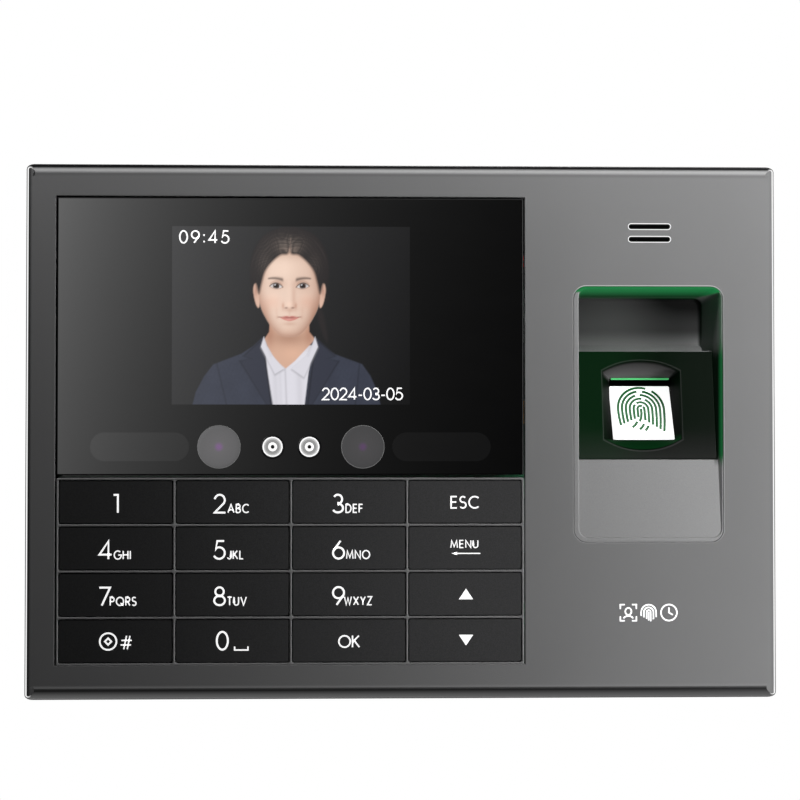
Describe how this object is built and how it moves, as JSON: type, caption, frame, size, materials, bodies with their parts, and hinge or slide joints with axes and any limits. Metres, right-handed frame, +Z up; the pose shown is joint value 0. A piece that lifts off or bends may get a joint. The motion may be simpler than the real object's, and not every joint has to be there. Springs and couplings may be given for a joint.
{
  "type": "fingerprint scanner terminal",
  "caption": "Wall-mounted access terminal: a grey casing with a glossy display window and keypad, a speaker, and a recessed finger well with a lit scanner glass.",
  "frame": {"origin": "centre of the wall plate's four screw holes, on the wall plane", "axes": "+X to the viewer's right, the front faces -Y, +Z up; the wall is the plane y = 0"},
  "size_m": [0.182, 0.036, 0.13],
  "materials": {
    "casing_grey": "fine metallic gunmetal paint, satin",
    "rear_black": "fine moulded texture",
    "well_silver": "satin silver-grey paint",
    "lens_black": "polished black-backed acrylic",
    "lattice_grey": "satin grey paint",
    "key_black": "fine satin black with white legends",
    "sensor_black": "satin black",
    "platen_glass": "polished",
    "led_green": "clear epoxy",
    "screen_glass": "polished",
    "camera_white": "satin",
    "lamp_grey": "translucent",
    "ir_smoke": "polished",
    "plate_steel": "zinc plated",
    "screw_steel": "black zinc",
    "dome_steel": "bright",
    "rubber_black": "matt",
    "board_green": "solder mask",
    "chip_black": "moulded epoxy",
    "flex_amber": "polyimide film",
    "speaker_black": "moulded frame",
    "wire_red": "wire insulation",
    "cell_steel": "nickel plated",
    "connector_black": "moulded",
    "connector_steel": "tin plated",
    "label_white": "paper label"
  },
  "bodies": {
    "wall_bracket": {"wall_plate": "plate_steel", "plate_lock_screw": "screw_steel"},
    "terminal": {"front_casing": "casing_grey", "rear_shell": "rear_black", "casing_screws": "screw_steel", "finger_well": "well_silver", "display_lens": "lens_black", "display_gasket": "rubber_black", "display_panel": "screen_glass", "display_ribbon": "flex_amber", "face_board": "board_green", "camera_module_left": "camera_white", "camera_module_right": "camera_white", "lamp_left": "lamp_grey", "lamp_right": "lamp_grey", "ir_led_bar_left": "ir_smoke", "ir_led_bar_right": "ir_smoke", "key_lattice": "lattice_grey", "keypad_mat": "rubber_black", "snap_domes": "dome_steel", "keypad_board": "board_green", "keypad_ribbon": "flex_amber", "speaker_gasket": "rubber_black", "speaker": "speaker_black", "speaker_lead": "wire_red", "sensor_bezel": "sensor_black", "sensor_glass": "platen_glass", "sensor_leds": "led_green", "sensor_camera": "chip_black", "sensor_board": "board_green", "sensor_ribbon": "flex_amber", "main_board": "board_green", "board_chips": "chip_black", "board_screws": "dome_steel", "cell_holder": "connector_black", "clock_cell": "cell_steel", "dc_jack": "connector_black", "usb_port": "connector_steel", "rating_label": "label_white"},
    "key_1_cap": {"key_1": "key_black"},
    "key_2_cap": {"key_2": "key_black"},
    "key_3_cap": {"key_3": "key_black"},
    "key_esc_cap": {"key_esc": "key_black"},
    "key_4_cap": {"key_4": "key_black"},
    "key_5_cap": {"key_5": "key_black"},
    "key_6_cap": {"key_6": "key_black"},
    "key_menu_cap": {"key_menu": "key_black"},
    "key_7_cap": {"key_7": "key_black"},
    "key_8_cap": {"key_8": "key_black"},
    "key_9_cap": {"key_9": "key_black"},
    "key_up_cap": {"key_up": "key_black"},
    "key_power_hash_cap": {"key_power_hash": "key_black"},
    "key_0_cap": {"key_0": "key_black"},
    "key_ok_cap": {"key_ok": "key_black"},
    "key_down_cap": {"key_down": "key_black"}
  },
  "joints": [
    {"name": "lift_off", "type": "slide", "parent": "wall_bracket", "child": "terminal", "axis": [0, 0, 1], "range_m": [0, 0.0063]},
    {"name": "key_1_press", "type": "slide", "parent": "terminal", "child": "key_1_cap", "axis": [0, 1, 0], "range_m": [0, 0.0006], "stiffness_N_per_m": 1500, "springref_m": -0.0004},
    {"name": "key_2_press", "type": "slide", "parent": "terminal", "child": "key_2_cap", "axis": [0, 1, 0], "range_m": [0, 0.0006], "stiffness_N_per_m": 1500, "springref_m": -0.0004},
    {"name": "key_3_press", "type": "slide", "parent": "terminal", "child": "key_3_cap", "axis": [0, 1, 0], "range_m": [0, 0.0006], "stiffness_N_per_m": 1500, "springref_m": -0.0004},
    {"name": "key_esc_press", "type": "slide", "parent": "terminal", "child": "key_esc_cap", "axis": [0, 1, 0], "range_m": [0, 0.0006], "stiffness_N_per_m": 1500, "springref_m": -0.0004},
    {"name": "key_4_press", "type": "slide", "parent": "terminal", "child": "key_4_cap", "axis": [0, 1, 0], "range_m": [0, 0.0006], "stiffness_N_per_m": 1500, "springref_m": -0.0004},
    {"name": "key_5_press", "type": "slide", "parent": "terminal", "child": "key_5_cap", "axis": [0, 1, 0], "range_m": [0, 0.0006], "stiffness_N_per_m": 1500, "springref_m": -0.0004},
    {"name": "key_6_press", "type": "slide", "parent": "terminal", "child": "key_6_cap", "axis": [0, 1, 0], "range_m": [0, 0.0006], "stiffness_N_per_m": 1500, "springref_m": -0.0004},
    {"name": "key_menu_press", "type": "slide", "parent": "terminal", "child": "key_menu_cap", "axis": [0, 1, 0], "range_m": [0, 0.0006], "stiffness_N_per_m": 1500, "springref_m": -0.0004},
    {"name": "key_7_press", "type": "slide", "parent": "terminal", "child": "key_7_cap", "axis": [0, 1, 0], "range_m": [0, 0.0006], "stiffness_N_per_m": 1500, "springref_m": -0.0004},
    {"name": "key_8_press", "type": "slide", "parent": "terminal", "child": "key_8_cap", "axis": [0, 1, 0], "range_m": [0, 0.0006], "stiffness_N_per_m": 1500, "springref_m": -0.0004},
    {"name": "key_9_press", "type": "slide", "parent": "terminal", "child": "key_9_cap", "axis": [0, 1, 0], "range_m": [0, 0.0006], "stiffness_N_per_m": 1500, "springref_m": -0.0004},
    {"name": "key_up_press", "type": "slide", "parent": "terminal", "child": "key_up_cap", "axis": [0, 1, 0], "range_m": [0, 0.0006], "stiffness_N_per_m": 1500, "springref_m": -0.0004},
    {"name": "key_power_hash_press", "type": "slide", "parent": "terminal", "child": "key_power_hash_cap", "axis": [0, 1, 0], "range_m": [0, 0.0006], "stiffness_N_per_m": 1500, "springref_m": -0.0004},
    {"name": "key_0_press", "type": "slide", "parent": "terminal", "child": "key_0_cap", "axis": [0, 1, 0], "range_m": [0, 0.0006], "stiffness_N_per_m": 1500, "springref_m": -0.0004},
    {"name": "key_ok_press", "type": "slide", "parent": "terminal", "child": "key_ok_cap", "axis": [0, 1, 0], "range_m": [0, 0.0006], "stiffness_N_per_m": 1500, "springref_m": -0.0004},
    {"name": "key_down_press", "type": "slide", "parent": "terminal", "child": "key_down_cap", "axis": [0, 1, 0], "range_m": [0, 0.0006], "stiffness_N_per_m": 1500, "springref_m": -0.0004}
  ]
}
